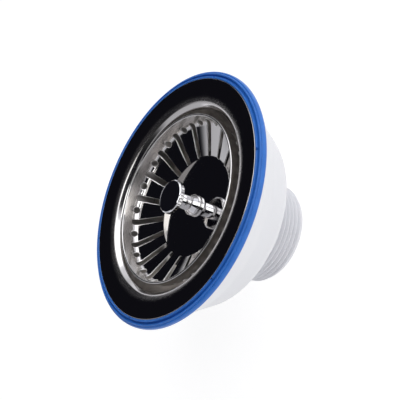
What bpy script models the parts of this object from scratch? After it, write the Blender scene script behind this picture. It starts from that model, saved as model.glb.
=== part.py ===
"""A basket drain for a kitchen sink, as its separate pieces.

The drain stands on the end of its outlet, with the flange up. +Z is its axis, and the origin is the centre of
the outlet's end. All lengths are in metres. Depths are measured down from the flange's top edge.
"""

import math

import bmesh
import bpy
from mathutils import Matrix, Vector

# Clearances and fineness, shared by all pieces
GAP = 0.0003  # between pieces that touch, or that run in each other
OVERRUN = 0.0020  # how far a cutter reaches past what it cuts
MERGE = 0.00001  # doubled points closer than this become one
LARGE_STEPS = 36  # facets round the flange, bowl, gasket and body
SMALL_STEPS = 20  # facets round the stem, bolt and post
ARC_STEPS = 2  # facets along a rounded corner

# Flange and bowl, pressed from one steel sheet
SHEET = 0.0008
FLANGE_RADIUS = 0.0570
FLANGE_DISH = 0.0006  # the flange falls by this much from its edge to its lip
EDGE_DROP = 0.0014  # the outer edge is turned down by this much
EDGE_ROUND = 0.0009
LIP_RADIUS = 0.0455  # the flange turns down into the bowl here
LIP_WIDTH = 0.0019
LIP_ROUND = 0.0018
BOWL_DEPTH = 0.0277
BOWL_TAPER = 0.0056  # the wall's radius at the floor is smaller by this much
BOWL_ROUND = 0.0060
DIMPLE_DEPTH = 0.0036  # the recess for the bolt's head
DIMPLE_FLARE = 0.0020
DIMPLE_PLAY = 0.0015  # between the bolt's head and the recess
DRAIN_HOLES = 8
DRAIN_HOLE_WIDTH = 0.0070
DRAIN_HOLE_WEB = 0.0045  # steel left between two drain holes
DRAIN_HOLE_MARGIN = 0.0020  # steel left between the holes and the recess

# Strainer basket, pressed from thinner sheet
BASKET_SHEET = 0.0006
BASKET_PLAY = 0.0031  # between the basket's rim and the top of the bowl's wall
BASKET_RIM_WIDTH = 0.0012
BASKET_RIM_DEPTH = 0.0010  # the rim's top, below the flange
BASKET_RIM_DROP = 0.0015
BASKET_RIM_ROUND = 0.0005
BASKET_KNEE_DEPTH = 0.0082
BASKET_KNEE_ROUND = 0.0025
BASKET_DEPTH = 0.0134
BASKET_FLOOR_RADIUS = 0.0240
BASKET_FLOOR_ROUND = 0.0020
SLOT_COUNT = 20
SLOT_WIDTH = 0.0026
SLOT_TOP_DEPTH = 0.0063
KNEE_HOLE_RADIUS = 0.0014
BASKET_STEPS = 2 * SLOT_COUNT  # a facet's edge runs through every slot and hole

# Knob and post, turned and plated
KNOB_RADIUS = 0.0080
KNOB_THICKNESS = 0.0031
KNOB_RISE = 0.0012  # the knob's face, above the flange
KNOB_BEVEL = 0.0007
KNOB_SOCKET_DEPTH = 0.0015
KNURL_COUNT = 28
KNURL_DEPTH = 0.0003
POST_SPIGOT_RADIUS = 0.0024
POST_FLARE_RADIUS = 0.0038
POST_NECK_RADIUS = 0.0029
POST_BEAD_RADIUS = 0.0050
POST_BEAD_HEIGHT = 0.0046
POST_THREAD_LENGTH = 0.0071  # the blind hole that takes the screw

# Screw, stem, friction ring and stopper under the basket
SCREW_RADIUS = 0.00175
SCREW_HEAD_WIDTH = 0.00115
SCREW_HEAD_HEIGHT = 0.0025
SCREW_TIP_ROOM = 0.0006
STEM_TIP_WALL = 0.0006
STEM_TIP_ROOM = 0.0012  # the screw's head lies this deep in the stem's tip
STEM_LENGTH = 0.0254
STEM_COLLAR_WIDTH = 0.0022
STEM_COLLAR_HEIGHT = 0.0016
RING_HEIGHT = 0.0016
RING_DROP = 0.0176  # the ring's place on the stem, below the stem's top
GROOVE_DEPTH_SHARE = 0.57  # of the stem's wall
PLATE_INSET = 0.0075  # inside the stopper's edge
PLATE_THICKNESS = 0.0008
STOPPER_PLAY = 0.0025  # between the stopper's edge and the rounding of the bowl's floor
STOPPER_THICKNESS = 0.0024
STOPPER_FLARE = 0.0045  # the width of the sloping lip
STOPPER_LIP = 0.0012
STOPPER_LIP_DROP = 0.0026  # the lip hangs below the underside, and shuts on the bowl's floor

# Hollow bolt, its washer and its captive nut
STEM_PLAY = 0.0004  # between the stem and the bolt's bore
BOLT_WALL = 0.0020
BOLT_HEAD_WIDTH = 0.0038
BOLT_HEAD_HEIGHT = 0.0023
BOLT_END_ROOM = 0.0010  # the bolt ends this much above the hub's end
BOLT_SLOT_WIDTH = 0.0022
BOLT_SLOT_DEPTH = 0.0012
WASHER_THICKNESS = 0.0012
NUT_WALL = 0.0020
NUT_HEIGHT = 0.0080
NUT_SIDES = 6

# Gasket and flange seal
SEAL_THICKNESS = 0.0010
SEAL_INNER_MARGIN = 0.0014  # outside the flange's lip
SEAL_OUTER_MARGIN = 0.0015  # inside the flange's edge
GASKET_RIM_WIDTH = 0.0040  # the band outside the flange's edge
GASKET_WEB = 0.0017
GASKET_INNER_MARGIN = 0.0015
GASKET_RIDGE_DEPTH = 0.0004  # the ridges' tops, below the flange
GASKET_GROOVE_DEPTH = 0.0014
GASKET_BAND_DEPTH = 0.0008

# White plastic body
BODY_WALL = 0.0024
BODY_RIM_INSET = 0.0017  # inside the gasket's edge
BODY_RIM_ROUND = 0.0006
BODY_LEDGE_WIDTH = 0.0083
WAIST_RADIUS_SHARE = 0.514  # between the shoulder and the rim
WAIST_DEPTH_SHARE = 0.405  # between the rim and the shoulder
DOME_ROUND = 0.0200
SHOULDER_CLEAR = 0.0022  # between the bowl and the shoulder
SHOULDER_DROP = 0.0049  # the shoulder, below the bowl's underside
NECK_ROUND = 0.0030
CHAMBER_HEIGHT = 0.0081  # from the recess's underside to the neck
HUB_WALL = 0.0018
HUB_LENGTH = 0.0136
RIB_COUNT = 4
RIB_THICKNESS = 0.0026
RIB_TOP_DROP = 0.0012

# Threaded outlet, G 1 1/2
THREAD_RADIUS = 0.0239
THREAD_DEPTH = 0.00148
THREAD_PITCH = 0.002309
THREAD_TURNS = 7
THREAD_STEPS = 24
THREAD_CREST = 0.0004
THREAD_EMBED = 0.00025
THREAD_FLANK_DEG = 27.5
THREAD_FADE_SHARE = 0.25  # of a turn, at each end
THREAD_START_SHARE = 0.4  # of the sunk depth, where a faded end begins
OUTLET_LENGTH = 0.0198
OUTLET_CHAMFER = 0.0007

# Colours, as red, green and blue
STEEL = (0.62, 0.61, 0.60)
CHROME = (0.80, 0.80, 0.82)
BRASS = (0.72, 0.53, 0.24)
WHITE_PLASTIC = (0.74, 0.74, 0.79)
BLUE_RUBBER = (0.03, 0.14, 0.52)
BLACK_RUBBER = (0.02, 0.02, 0.02)
GREY_RUBBER = (0.18, 0.18, 0.19)
NYLON = (0.85, 0.84, 0.80)

# Radii that follow from the sizes above
BOWL_TOP_RADIUS = LIP_RADIUS - LIP_WIDTH
BOWL_FLOOR_RADIUS = BOWL_TOP_RADIUS - BOWL_TAPER
STOPPER_RADIUS = BOWL_FLOOR_RADIUS - BOWL_ROUND - STOPPER_PLAY
PLATE_RADIUS = STOPPER_RADIUS - PLATE_INSET
BASKET_RIM_RADIUS = BOWL_TOP_RADIUS - BASKET_PLAY
BASKET_WALL_RADIUS = BASKET_RIM_RADIUS - BASKET_RIM_WIDTH
SCREW_HOLE_RADIUS = SCREW_RADIUS + GAP
SCREW_HEAD_RADIUS = SCREW_RADIUS + SCREW_HEAD_WIDTH
STEM_TIP_BORE = SCREW_HEAD_RADIUS + GAP
STEM_RADIUS = STEM_TIP_BORE + STEM_TIP_WALL
STEM_COLLAR_RADIUS = STEM_RADIUS + STEM_COLLAR_WIDTH
GROOVE_RADIUS = STEM_RADIUS - GROOVE_DEPTH_SHARE * (STEM_RADIUS - SCREW_HOLE_RADIUS)
BOLT_BORE = STEM_RADIUS + STEM_PLAY
BOLT_RADIUS = BOLT_BORE + BOLT_WALL
BOLT_HEAD_RADIUS = BOLT_RADIUS + BOLT_HEAD_WIDTH
BOLT_HOLE_RADIUS = BOLT_RADIUS + GAP
DIMPLE_RADIUS = BOLT_HEAD_RADIUS + DIMPLE_PLAY
NUT_HALF_FLATS = BOLT_HOLE_RADIUS + NUT_WALL
POCKET_HALF_FLATS = NUT_HALF_FLATS + GAP
HUB_RADIUS = POCKET_HALF_FLATS / math.cos(math.pi / NUT_SIDES) + HUB_WALL
GASKET_RADIUS = FLANGE_RADIUS + GASKET_RIM_WIDTH
GASKET_INNER_RADIUS = LIP_RADIUS + GASKET_INNER_MARGIN
BODY_RIM_RADIUS = GASKET_RADIUS - BODY_RIM_INSET
OUTLET_RADIUS = THREAD_RADIUS - THREAD_DEPTH
SHOULDER_RADIUS = BOWL_FLOOR_RADIUS + SHEET + SHOULDER_CLEAR
DRAIN_HOLE_INNER = DIMPLE_RADIUS + DIMPLE_FLARE + DRAIN_HOLE_MARGIN

# Heights that follow from the sizes above, from the outlet's end up
HUB_TOP = OUTLET_LENGTH + CHAMBER_HEIGHT - GAP
HUB_BOTTOM = HUB_TOP - HUB_LENGTH
DIMPLE_TOP = OUTLET_LENGTH + CHAMBER_HEIGHT + SHEET
BOWL_FLOOR = DIMPLE_TOP + DIMPLE_DEPTH
FLANGE_TOP = BOWL_FLOOR + BOWL_DEPTH
BASKET_FLOOR = FLANGE_TOP - BASKET_DEPTH
PLATE_TOP = BASKET_FLOOR - BASKET_SHEET - GAP
STOPPER_TOP = PLATE_TOP - PLATE_THICKNESS - GAP
STOPPER_LIP_BOTTOM = STOPPER_TOP - STOPPER_THICKNESS - STOPPER_LIP_DROP
STEM_TOP = STOPPER_TOP - STOPPER_THICKNESS - GAP
STEM_BOTTOM = STEM_TOP - STEM_LENGTH
SCREW_HEAD_BOTTOM = STEM_BOTTOM + STEM_TIP_ROOM
SCREW_HEAD_TOP = SCREW_HEAD_BOTTOM + SCREW_HEAD_HEIGHT
RING_TOP = STEM_TOP - RING_DROP
WASHER_TOP = DIMPLE_TOP + GAP + WASHER_THICKNESS
BOLT_HEAD_BOTTOM = WASHER_TOP + GAP
BOLT_BOTTOM = HUB_BOTTOM + BOLT_END_ROOM
NUT_BOTTOM = BOLT_BOTTOM
KNOB_TOP = FLANGE_TOP + KNOB_RISE
KNOB_BOTTOM = KNOB_TOP - KNOB_THICKNESS
POST_BOTTOM = BASKET_FLOOR + GAP
SEAL_TOP = FLANGE_TOP - FLANGE_DISH - SHEET - GAP
WEB_TOP = SEAL_TOP - SEAL_THICKNESS - GAP
BODY_TOP = WEB_TOP - GASKET_WEB - GAP


# Outlines: lists of (radius, height) points that are turned about Z


def rounded(corners):
    """Turn corners of (radius, height, rounding) into a line whose corners are arcs."""
    line = []
    last = len(corners) - 1
    for i, (radius, height, rounding) in enumerate(corners):
        here = Vector((radius, height))
        if rounding == 0 or i in (0, last):
            line.append(here)
            continue
        back = (Vector(corners[i - 1][:2]) - here).normalized()
        ahead = (Vector(corners[i + 1][:2]) - here).normalized()
        half = back.angle(ahead) / 2
        centre = here + (back + ahead).normalized() * rounding / math.sin(half)
        first = here + back * rounding / math.tan(half) - centre
        second = here + ahead * rounding / math.tan(half) - centre
        sweep = math.pi - 2 * half
        for step in range(ARC_STEPS + 1):
            share = step / ARC_STEPS
            mixed = first * math.sin(sweep - sweep * share) + second * math.sin(sweep * share)
            line.append(centre + mixed / math.sin(sweep))
    return line


def moved_corners(corners, thickness):
    """The same corners, moved by the thickness to the right of the way that the line runs."""
    moved = []
    last = len(corners) - 1
    for i, (radius, height, rounding) in enumerate(corners):
        start, here, end = (Vector(corners[k][:2]) for k in (max(i - 1, 0), i, min(i + 1, last)))
        run_in = (here - start).normalized() if i > 0 else (end - here).normalized()
        run_out = (end - here).normalized() if i < last else run_in
        side_in = Vector((run_in.y, -run_in.x))
        side_out = Vector((run_out.y, -run_out.x))
        place = here + (side_in + side_out) * thickness / (1 + side_in.dot(side_out))
        turns_left = run_in.x * run_out.y - run_in.y * run_out.x > 0
        own_rounding = rounding + thickness if turns_left else rounding - thickness
        moved.append((place.x, place.y, max(own_rounding, 0) if rounding else 0))
    return moved


def sheet_outline(corners, thickness):
    """A closed outline: the corners' line on one side of a sheet, and the other side under it."""
    return rounded(corners) + rounded(moved_corners(corners, -thickness))[::-1]


def box_outline(inner, outer, bottom, top):
    """A closed rectangle, for a plain ring or disc."""
    return [Vector(point) for point in ((inner, bottom), (outer, bottom), (outer, top), (inner, top))]


# Solids


def new_object(name, bm, finish=None, parent=None):
    """Put a bmesh into a new object, shaded smooth where its faces meet at a small angle."""
    mesh = bpy.data.meshes.new(name)
    bmesh.ops.remove_doubles(bm, verts=bm.verts, dist=MERGE)
    bmesh.ops.recalc_face_normals(bm, faces=bm.faces)
    bm.to_mesh(mesh)
    bm.free()
    mesh.shade_smooth()
    mesh.set_sharp_from_angle(angle=math.radians(30))
    if finish:
        mesh.materials.append(finish)
    piece = bpy.data.objects.new(name, mesh)
    piece.parent = parent
    bpy.context.collection.objects.link(piece)
    return piece


def turned(outline, steps):
    """Turn a closed outline about Z. A side that lies on the axis makes no face."""
    bm = bmesh.new()
    points = [bm.verts.new((radius, 0, height)) for radius, height in outline]
    sides = []
    for point, following in zip(points, points[1:] + points[:1]):
        if point.co.x > MERGE or following.co.x > MERGE:
            sides.append(bm.edges.new((point, following)))
    bmesh.ops.spin(
        bm,
        geom=points + sides,
        cent=(0, 0, 0),
        axis=(0, 0, 1),
        dvec=(0, 0, 0),
        angle=2 * math.pi,
        steps=steps,
        use_merge=True,
    )
    return bm


def extruded(points, bottom, top):
    """A prism on a closed outline of (x, y) points."""
    bm = bmesh.new()
    face = bm.faces.new([bm.verts.new((x, y, bottom)) for x, y in points])
    grown = bmesh.ops.extrude_face_region(bm, geom=[face])["geom"]
    moved = [item for item in grown if isinstance(item, bmesh.types.BMVert)]
    bmesh.ops.translate(bm, verts=moved, vec=(0, 0, top - bottom))
    return bm


def repeated(bm, count, phase=0):
    """Copy what the bmesh holds round Z, the first copy turned by phase."""
    whole = bmesh.new()
    for i in range(count):
        turn = Matrix.Rotation(phase + 2 * math.pi * i / count, 4, "Z")
        copy = bm.copy()
        bmesh.ops.transform(copy, matrix=turn, verts=copy.verts)
        scratch = bpy.data.meshes.new("copy")
        copy.to_mesh(scratch)
        copy.free()
        whole.from_mesh(scratch)
        bpy.data.meshes.remove(scratch)
    bm.free()
    return whole


def combine(target, name, bm, operation):
    """Cut a bmesh out of a piece, or join it on, with a hidden helper object."""
    helper = new_object(name, bm, parent=target.parent)
    helper.hide_render = True
    helper.display_type = "WIRE"
    modifier = target.modifiers.new(name, "BOOLEAN")
    modifier.solver = "EXACT"
    modifier.operation = operation
    modifier.object = helper


def on_circle(radius, start, end, steps):
    """Points on an arc about the origin, from one angle to another."""
    angles = [start + (end - start) * i / steps for i in range(steps + 1)]
    return [(radius * math.cos(angle), radius * math.sin(angle)) for angle in angles]


def hexagon(half_flats):
    """The corners of a hexagon, by half its size across flats."""
    return on_circle(half_flats / math.cos(math.pi / NUT_SIDES), 0, 2 * math.pi, NUT_SIDES)[:-1]


def finish(name, colour, roughness, metallic):
    """A plain Principled material."""
    material = bpy.data.materials.new(name)
    material.use_nodes = True
    shader = material.node_tree.nodes["Principled BSDF"]
    shader.inputs["Base Color"].default_value = (*colour, 1)
    shader.inputs["Roughness"].default_value = roughness
    shader.inputs["Metallic"].default_value = metallic
    material.diffuse_color = (*colour, 1)
    return material


# Fixed pieces


def make_flange_bowl(parent):
    """Flange, lip, bowl, drain holes and the recess for the bolt, in one sheet."""
    floor_edge = DIMPLE_RADIUS + DIMPLE_FLARE
    corners = [
        (FLANGE_RADIUS, FLANGE_TOP - EDGE_DROP, 0),
        (FLANGE_RADIUS, FLANGE_TOP, EDGE_ROUND),
        (LIP_RADIUS, FLANGE_TOP - FLANGE_DISH, LIP_ROUND),
        (BOWL_TOP_RADIUS, FLANGE_TOP - FLANGE_DISH - LIP_WIDTH, LIP_ROUND),
        (BOWL_FLOOR_RADIUS, BOWL_FLOOR, BOWL_ROUND),
        (floor_edge, BOWL_FLOOR, 0),
        (DIMPLE_RADIUS, DIMPLE_TOP, 0),
        (BOLT_HOLE_RADIUS, DIMPLE_TOP, 0),
    ]
    bm = turned(sheet_outline(corners, SHEET), LARGE_STEPS)
    bowl = new_object("flange_bowl", bm, finish("steel_flange", STEEL, 0.12, 1), parent)

    middle = DRAIN_HOLE_INNER + DRAIN_HOLE_WIDTH / 2
    half_angle = math.pi / DRAIN_HOLES - DRAIN_HOLE_WEB / 2 / middle
    points = on_circle(DRAIN_HOLE_INNER + DRAIN_HOLE_WIDTH, -half_angle, half_angle, 2 * ARC_STEPS)
    points += on_circle(DRAIN_HOLE_INNER, half_angle, -half_angle, 2 * ARC_STEPS)
    holes = repeated(extruded(points, BOWL_FLOOR - SHEET - OVERRUN, BOWL_FLOOR + OVERRUN), DRAIN_HOLES)
    combine(bowl, "drain_hole_cutter", holes, "DIFFERENCE")
    return bowl


def make_flange_seal(parent):
    """Thin flat seal that lies between the flange and the sink."""
    outline = box_outline(
        LIP_RADIUS + SEAL_INNER_MARGIN,
        FLANGE_RADIUS - SEAL_OUTER_MARGIN,
        SEAL_TOP - SEAL_THICKNESS,
        SEAL_TOP,
    )
    bm = turned(outline, LARGE_STEPS)
    return new_object("flange_seal", bm, finish("seal", GREY_RUBBER, 0.7, 0), parent)


def make_body_gasket(parent):
    """Blue gasket: a flat web under the flange, then two ridges with a groove, and a round band outside."""
    inner_edge = FLANGE_RADIUS + GAP
    width = GASKET_RADIUS - inner_edge
    ridge_top = FLANGE_TOP - GASKET_RIDGE_DEPTH
    groove = FLANGE_TOP - GASKET_GROOVE_DEPTH
    band_top = FLANGE_TOP - GASKET_BAND_DEPTH
    bottom = WEB_TOP - GASKET_WEB
    profile_shares = (
        (0.00, ridge_top),
        (0.16, ridge_top),
        (0.24, groove),
        (0.44, groove),
        (0.50, ridge_top),
        (0.60, ridge_top),
        (0.68, band_top),
        (0.90, band_top),
    )
    outline = [Vector((GASKET_INNER_RADIUS, bottom)), Vector((GASKET_INNER_RADIUS, WEB_TOP))]
    outline.append(Vector((inner_edge, WEB_TOP)))
    outline += [Vector((inner_edge + width * share, height)) for share, height in profile_shares]
    outline.append(Vector((GASKET_RADIUS, (2 * band_top + bottom) / 3)))
    outline.append(Vector((GASKET_RADIUS, (band_top + 2 * bottom) / 3)))
    outline.append(Vector((BODY_RIM_RADIUS + GAP, bottom)))
    bm = turned(outline, LARGE_STEPS)
    return new_object("body_gasket", bm, finish("gasket", BLUE_RUBBER, 0.4, 0), parent)


def thread_ridge():
    """The outlet's thread: one closed ridge on a helix, whose faded ends sink into the wall."""
    foot = OUTLET_RADIUS - THREAD_EMBED
    full = THREAD_EMBED + THREAD_DEPTH
    least = THREAD_EMBED * (1 - THREAD_START_SHARE)
    slope = math.tan(math.radians(THREAD_FLANK_DEG))
    fade_steps = THREAD_FADE_SHARE * THREAD_STEPS
    total = round(THREAD_TURNS * THREAD_STEPS)
    room = OUTLET_LENGTH - THREAD_TURNS * THREAD_PITCH
    bm = bmesh.new()
    rings = []
    for i in range(total + 1):
        angle = 2 * math.pi * i / THREAD_STEPS
        middle = room / 2 + THREAD_PITCH * i / THREAD_STEPS
        fade = min(1, i / fade_steps, (total - i) / fade_steps)
        rise = least + (full - least) * fade
        half_crest = THREAD_CREST / 2 + slope * (full - rise)
        half_foot = THREAD_CREST / 2 + slope * full
        crest = foot + rise
        section = ((foot, -half_foot), (crest, -half_crest), (crest, half_crest), (foot, half_foot))
        cosine, sine = math.cos(angle), math.sin(angle)
        rings.append([bm.verts.new((radius * cosine, radius * sine, middle + up)) for radius, up in section])
    for ring, following in zip(rings, rings[1:]):
        for k in range(4):
            bm.faces.new((ring[k], following[k], following[k - 3], ring[k - 3]))
    bm.faces.new(rings[0])
    bm.faces.new(rings[-1][::-1])
    return bm


def make_waste_body(parent):
    """Plastic body: rim, dome, threaded outlet, and the hub on its ribs."""
    shoulder = BOWL_FLOOR - SHEET - SHOULDER_DROP
    waist_radius = SHOULDER_RADIUS + WAIST_RADIUS_SHARE * (BODY_RIM_RADIUS - SHOULDER_RADIUS)
    waist = BODY_TOP + WAIST_DEPTH_SHARE * (shoulder - BODY_TOP)
    corners = [
        (BODY_RIM_RADIUS - BODY_LEDGE_WIDTH, BODY_TOP, 0),
        (BODY_RIM_RADIUS, BODY_TOP, BODY_RIM_ROUND),
        (waist_radius, waist, DOME_ROUND),
        (SHOULDER_RADIUS, shoulder, DOME_ROUND),
        (OUTLET_RADIUS, OUTLET_LENGTH, NECK_ROUND),
        (OUTLET_RADIUS, 0, 0),
    ]
    outer = rounded(corners)
    inner = rounded(moved_corners(corners, BODY_WALL))
    end = [Vector((OUTLET_RADIUS, OUTLET_CHAMFER)), Vector((OUTLET_RADIUS - OUTLET_CHAMFER, 0))]
    plastic = finish("white_plastic", WHITE_PLASTIC, 0.45, 0)
    outline = outer[:-1] + end + inner[::-1]
    body = new_object("waste_body", turned(outline, LARGE_STEPS), plastic, parent)

    rib_top = HUB_TOP - RIB_TOP_DROP
    rib_end = OUTLET_RADIUS - BODY_WALL / 2
    half = RIB_THICKNESS / 2
    across = [(-rib_end, -half), (rib_end, -half), (rib_end, half), (-rib_end, half)]
    for i in range(RIB_COUNT // 2):
        rib = extruded(across, HUB_BOTTOM, rib_top)
        turn = Matrix.Rotation(math.pi / 4 + 2 * math.pi * i / RIB_COUNT, 4, "Z")
        bmesh.ops.transform(rib, matrix=turn, verts=rib.verts)
        combine(body, f"rib_pair_{i + 1}", rib, "UNION")
    hub = turned(box_outline(0, HUB_RADIUS, HUB_BOTTOM - GAP, HUB_TOP), SMALL_STEPS)
    combine(body, "hub_boss", hub, "UNION")
    combine(body, "outlet_thread", thread_ridge(), "UNION")
    bolt_hole = box_outline(0, BOLT_HOLE_RADIUS, HUB_BOTTOM - OVERRUN, HUB_TOP + OVERRUN)
    combine(body, "bolt_hole_cutter", turned(bolt_hole, SMALL_STEPS), "DIFFERENCE")
    pocket = extruded(hexagon(POCKET_HALF_FLATS), HUB_BOTTOM - OVERRUN, NUT_BOTTOM + NUT_HEIGHT + GAP)
    combine(body, "nut_pocket_cutter", pocket, "DIFFERENCE")
    return body


def make_fixing_bolt(parent):
    """Hollow bolt with a slotted head. The stem runs in its bore."""
    corners = [
        (BOLT_BORE, BOLT_BOTTOM),
        (BOLT_RADIUS, BOLT_BOTTOM),
        (BOLT_RADIUS, BOLT_HEAD_BOTTOM),
        (BOLT_HEAD_RADIUS, BOLT_HEAD_BOTTOM),
        (BOLT_HEAD_RADIUS, BOLT_HEAD_BOTTOM + BOLT_HEAD_HEIGHT),
        (BOLT_BORE, BOLT_HEAD_BOTTOM + BOLT_HEAD_HEIGHT),
    ]
    bm = turned([Vector(corner) for corner in corners], SMALL_STEPS)
    bolt = new_object("fixing_bolt", bm, finish("bolt_brass", BRASS, 0.3, 1), parent)
    reach = BOLT_HEAD_RADIUS + OVERRUN
    half = BOLT_SLOT_WIDTH / 2
    head_top = BOLT_HEAD_BOTTOM + BOLT_HEAD_HEIGHT
    slot = extruded(
        [(-reach, -half), (reach, -half), (reach, half), (-reach, half)],
        head_top - BOLT_SLOT_DEPTH,
        head_top + OVERRUN,
    )
    combine(bolt, "bolt_slot_cutter", slot, "DIFFERENCE")
    return bolt


def make_bolt_washer(parent):
    """Rubber washer between the bolt's head and the bowl."""
    outline = box_outline(BOLT_HOLE_RADIUS, BOLT_HEAD_RADIUS, WASHER_TOP - WASHER_THICKNESS, WASHER_TOP)
    bm = turned(outline, SMALL_STEPS)
    return new_object("bolt_washer", bm, finish("washer", BLACK_RUBBER, 0.7, 0), parent)


def make_captive_nut(parent):
    """Brass hexagon nut in the hub's pocket."""
    bm = extruded(hexagon(NUT_HALF_FLATS), NUT_BOTTOM, NUT_BOTTOM + NUT_HEIGHT)
    nut = new_object("captive_nut", bm, finish("nut_brass", BRASS, 0.35, 1), parent)
    bore = box_outline(0, BOLT_HOLE_RADIUS, NUT_BOTTOM - OVERRUN, NUT_BOTTOM + NUT_HEIGHT + OVERRUN)
    combine(nut, "nut_bore_cutter", turned(bore, SMALL_STEPS), "DIFFERENCE")
    return nut


# The basket and what hangs on it


def slot_bar():
    """A cutter with an arched top and a round inner end, which runs out through the dish, knee and wall."""
    half = SLOT_WIDTH / 2
    inner = BASKET_FLOOR_RADIUS + half
    bottom = BASKET_FLOOR - BASKET_SHEET - OVERRUN
    arch_middle = FLANGE_TOP - SLOT_TOP_DEPTH - half
    section = [(-half, bottom), (half, bottom)]
    for i in range(2 * ARC_STEPS + 1):
        angle = math.pi * i / (2 * ARC_STEPS)
        section.append((half * math.cos(angle), arch_middle + half * math.sin(angle)))
    nose_angles = [math.pi / 2 * (1 - i / (2 * ARC_STEPS)) for i in range(2 * ARC_STEPS + 1)]
    stations = [(inner - half * math.sin(angle), math.cos(angle)) for angle in nose_angles]
    stations.append((BASKET_RIM_RADIUS + OVERRUN, 1))
    bm = bmesh.new()
    rings = [[bm.verts.new((x, y * width, z)) for y, z in section] for x, width in stations]
    for ring, following in zip(rings, rings[1:]):
        for k in range(len(section)):
            bm.faces.new((ring[k], following[k], following[k - 1], ring[k - 1]))
    bm.faces.new(rings[-1])
    bmesh.ops.remove_doubles(bm, verts=bm.verts, dist=MERGE)
    return bm


def make_strainer_basket(parent):
    """Pressed basket with a rolled rim, slots over its knee and a round hole between each two slots."""
    rim_top = FLANGE_TOP - BASKET_RIM_DEPTH
    knee = FLANGE_TOP - BASKET_KNEE_DEPTH
    corners = [
        (BASKET_RIM_RADIUS, rim_top - BASKET_RIM_DROP, 0),
        (BASKET_RIM_RADIUS, rim_top, BASKET_RIM_ROUND),
        (BASKET_WALL_RADIUS, rim_top, BASKET_RIM_ROUND),
        (BASKET_WALL_RADIUS, knee, BASKET_KNEE_ROUND),
        (BASKET_FLOOR_RADIUS, BASKET_FLOOR, BASKET_FLOOR_ROUND),
        (SCREW_HOLE_RADIUS, BASKET_FLOOR, 0),
    ]
    bm = turned(sheet_outline(corners, BASKET_SHEET), BASKET_STEPS)
    basket = new_object("strainer_basket", bm, finish("steel_basket", STEEL, 0.15, 1), parent)

    phase = math.pi / SLOT_COUNT
    combine(basket, "slot_cutter", repeated(slot_bar(), SLOT_COUNT, phase), "DIFFERENCE")
    drill = bmesh.new()
    length = 2 * (OVERRUN + BASKET_SHEET)
    bmesh.ops.create_cone(
        drill,
        cap_ends=True,
        segments=4 * ARC_STEPS,
        radius1=KNEE_HOLE_RADIUS,
        radius2=KNEE_HOLE_RADIUS,
        depth=length,
        matrix=Matrix.Rotation(math.radians(-45), 4, "Y"),
    )
    inset = BASKET_KNEE_ROUND * (1 - math.cos(math.pi / 4))
    bmesh.ops.translate(drill, verts=drill.verts, vec=(BASKET_WALL_RADIUS - inset, 0, knee + inset))
    combine(basket, "knee_hole_cutter", repeated(drill, SLOT_COUNT), "DIFFERENCE")
    return basket


def make_knob(parent):
    """Turned disc with a bevelled, knurled edge and a socket for the post."""
    socket = POST_SPIGOT_RADIUS + GAP
    face = KNOB_RADIUS - KNOB_BEVEL
    outline = [
        (0, KNOB_BOTTOM + KNOB_SOCKET_DEPTH),
        (socket, KNOB_BOTTOM + KNOB_SOCKET_DEPTH),
        (socket, KNOB_BOTTOM),
        (face, KNOB_BOTTOM),
        (KNOB_RADIUS, KNOB_BOTTOM + KNOB_BEVEL),
        (KNOB_RADIUS, KNOB_TOP - KNOB_BEVEL),
        (face, KNOB_TOP),
        (0, KNOB_TOP),
    ]
    bm = turned([Vector(point) for point in outline], 2 * KNURL_COUNT)
    bmesh.ops.remove_doubles(bm, verts=bm.verts, dist=MERGE)
    for vertex in bm.verts:
        radius = vertex.co.xy.length
        place = round(math.atan2(vertex.co.y, vertex.co.x) * KNURL_COUNT / math.pi)
        if radius > KNOB_RADIUS - MERGE and place % 2:
            vertex.co.xy *= (radius - KNURL_DEPTH) / radius
    return new_object("knob", bm, finish("chrome_knob", CHROME, 0.06, 1), parent)


def make_knob_post(parent):
    """Turned post: spigot, flare, neck and bead, with a blind hole for the screw."""
    bead_top = POST_BOTTOM + POST_BEAD_HEIGHT
    foot_radius = (POST_BEAD_RADIUS + POST_NECK_RADIUS) / 2
    neck_top = KNOB_BOTTOM - GAP
    spigot_top = KNOB_BOTTOM + KNOB_SOCKET_DEPTH - GAP
    hole_top = POST_BOTTOM + POST_THREAD_LENGTH
    bead_middle = (POST_BOTTOM + bead_top) / 2
    quarter = POST_BEAD_HEIGHT / 4
    flare_height = POST_FLARE_RADIUS - POST_NECK_RADIUS
    outline = [
        (0, hole_top),
        (SCREW_HOLE_RADIUS, hole_top),
        (SCREW_HOLE_RADIUS, POST_BOTTOM),
        (foot_radius, POST_BOTTOM),
        (POST_BEAD_RADIUS, bead_middle - quarter),
        (POST_BEAD_RADIUS, bead_middle + quarter),
        (foot_radius, bead_top),
        (POST_NECK_RADIUS, bead_top + flare_height),
        (POST_NECK_RADIUS, neck_top - 2 * flare_height),
        (POST_FLARE_RADIUS, neck_top - flare_height),
        (POST_FLARE_RADIUS, neck_top),
        (POST_SPIGOT_RADIUS, neck_top),
        (POST_SPIGOT_RADIUS, spigot_top),
        (0, spigot_top),
    ]
    bm = turned([Vector(point) for point in outline], SMALL_STEPS)
    return new_object("knob_post", bm, finish("chrome_post", CHROME, 0.08, 1), parent)


def make_stopper_plate(parent):
    """Steel disc that backs the rubber."""
    outline = box_outline(SCREW_HOLE_RADIUS, PLATE_RADIUS, PLATE_TOP - PLATE_THICKNESS, PLATE_TOP)
    bm = turned(outline, LARGE_STEPS)
    return new_object("stopper_plate", bm, finish("plate", STEEL, 0.3, 1), parent)


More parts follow.
